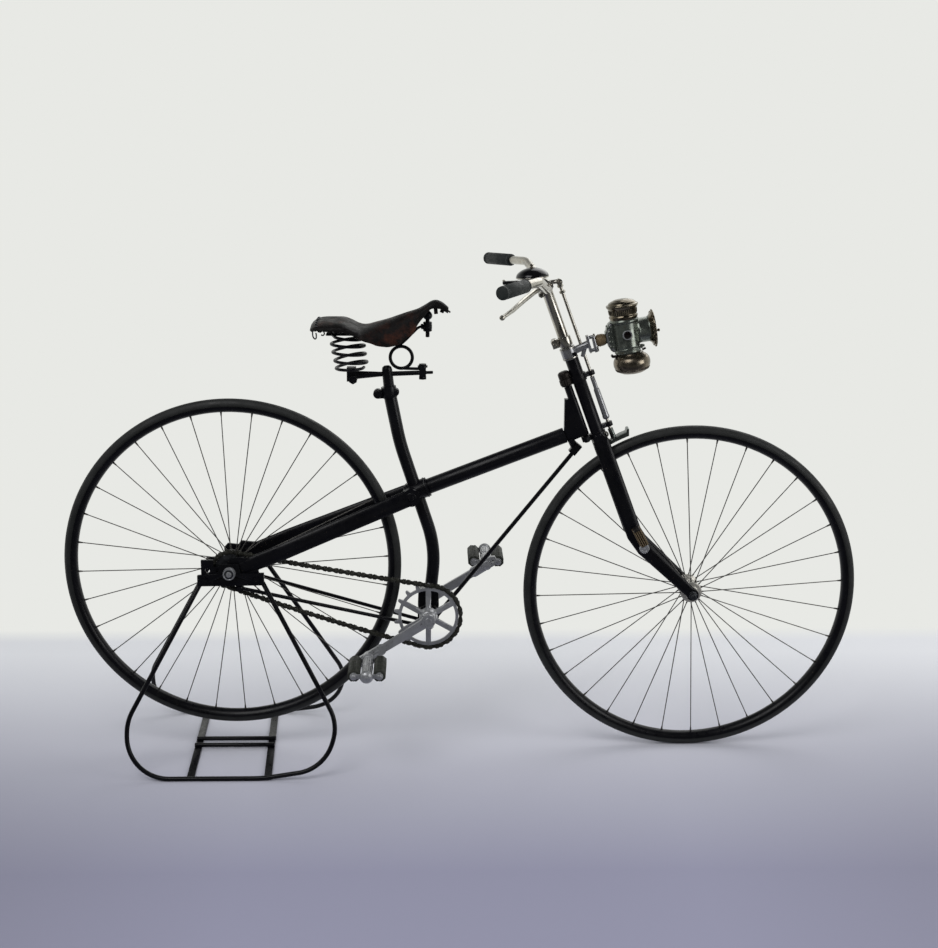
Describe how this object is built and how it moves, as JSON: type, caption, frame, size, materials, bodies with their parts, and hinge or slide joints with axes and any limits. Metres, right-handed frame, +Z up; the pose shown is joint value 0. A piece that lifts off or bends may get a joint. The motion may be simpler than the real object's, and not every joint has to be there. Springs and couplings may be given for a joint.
{
  "type": "cross-frame safety bicycle on a display stand",
  "caption": "Early safety bicycle: sloping backbone, equal wire wheels, block chain drive, sprung saddle and oil lamp, its rear axle held on a bent-rod stand.",
  "frame": {"origin": "on the floor, midway along the wheels and on the bicycle's centre plane", "axes": "+X forward, +Y the rider's left, +Z up"},
  "size_m": [1.802, 0.7528, 1.1337],
  "materials": {
    "enamel": "worn black stove enamel",
    "tyre": "solid black rubber, dusty",
    "spoke_steel": "dull drawn wire",
    "chain_steel": "oiled block chain, dark",
    "nickel": "worn nickel plate",
    "bronzed": "dark brown ribbed brass",
    "bright_steel": "bare forged steel",
    "grip_rubber": "dark green-black grip",
    "pedal_rubber": "olive black rubber block",
    "lamp_nickel": "nickel worn through to brass",
    "dark_steel": "dark machined steel",
    "leather": "black leather worn red-brown",
    "bell_steel": "glossy black dome",
    "lens_glass": "thick pressed glass",
    "jewel_glass": "dark coloured jewel"
  },
  "bodies": {
    "frame": {"backbone": "enamel", "crossing_lug": "enamel", "seat_tube": "enamel", "bottom_bracket": "enamel", "head_casting": "enamel", "down_stay": "enamel", "rear_fork_right": "enamel", "rear_fork_left": "enamel", "rear_ends": "enamel", "lower_stays": "enamel", "rear_axle": "dark_steel", "chain": "chain_steel", "seat_clamp": "enamel", "seat_pillar": "enamel", "saddle_frame": "enamel", "saddle_springs": "enamel", "saddle_ring_spring": "enamel", "saddle_nose_bolt": "enamel", "saddle_leather": "leather", "stand_loop_right": "enamel", "stand_loop_left": "enamel", "stand_plates": "enamel", "stand_base": "enamel"},
    "steering": {"fork_column": "enamel", "fork_blade_right": "enamel", "fork_blade_left": "enamel", "front_axle": "dark_steel", "head_cap_nut": "bronzed", "handlebar_stem": "nickel", "handlebar": "nickel", "grips": "grip_rubber", "brake_lever": "nickel", "brake_rod": "nickel", "brake_guides": "enamel", "brake_spoon": "bright_steel", "bell": "bell_steel", "lamp_bracket": "nickel", "lamp_body": "lamp_nickel", "lamp_font": "lamp_nickel", "lamp_front": "lamp_nickel", "lamp_lens": "lens_glass", "lamp_jewels": "jewel_glass", "footrests": "bronzed"},
    "front_wheel": {"front_tyre": "tyre", "front_rim": "enamel", "front_spokes": "spoke_steel", "front_hub": "nickel"},
    "rear_wheel": {"rear_tyre": "tyre", "rear_rim": "enamel", "rear_spokes": "spoke_steel", "rear_hub": "enamel", "rear_sprocket": "dark_steel"},
    "crank": {"crank_axle": "bright_steel", "chainring": "bright_steel", "crank_right": "bright_steel", "crank_left": "bright_steel"},
    "pedal_right": {"pedal_right": "bright_steel", "pedal_right_blocks": "pedal_rubber"},
    "pedal_left": {"pedal_left": "bright_steel", "pedal_left_blocks": "pedal_rubber"}
  },
  "joints": [
    {"name": "steering_turn", "type": "hinge", "parent": "frame", "child": "steering", "pos_m": [0.243, 0, 0.8217], "axis": [-0.3469, 0, 0.9379], "range_deg": [-40, 40]},
    {"name": "front_wheel_spin", "type": "hinge", "parent": "steering", "child": "front_wheel", "pos_m": [0.52, 0, 0.381], "axis": [0, 1, 0], "continuous": true},
    {"name": "rear_wheel_spin", "type": "hinge", "parent": "frame", "child": "rear_wheel", "pos_m": [-0.52, 0, 0.442], "axis": [0, 1, 0], "continuous": true},
    {"name": "crank_spin", "type": "hinge", "parent": "frame", "child": "crank", "pos_m": [-0.078, 0, 0.33], "axis": [0, 1, 0], "continuous": true},
    {"name": "pedal_right_spin", "type": "hinge", "parent": "crank", "child": "pedal_right", "pos_m": [-0.21294, 0, 0.24403], "axis": [0, 1, 0], "continuous": true},
    {"name": "pedal_left_spin", "type": "hinge", "parent": "crank", "child": "pedal_left", "pos_m": [0.05694, 0, 0.41597], "axis": [0, 1, 0], "continuous": true}
  ],
  "couplings": [
    {"joint": "crank_spin", "follows": "rear_wheel_spin", "ratio": 0.55556}
  ]
}
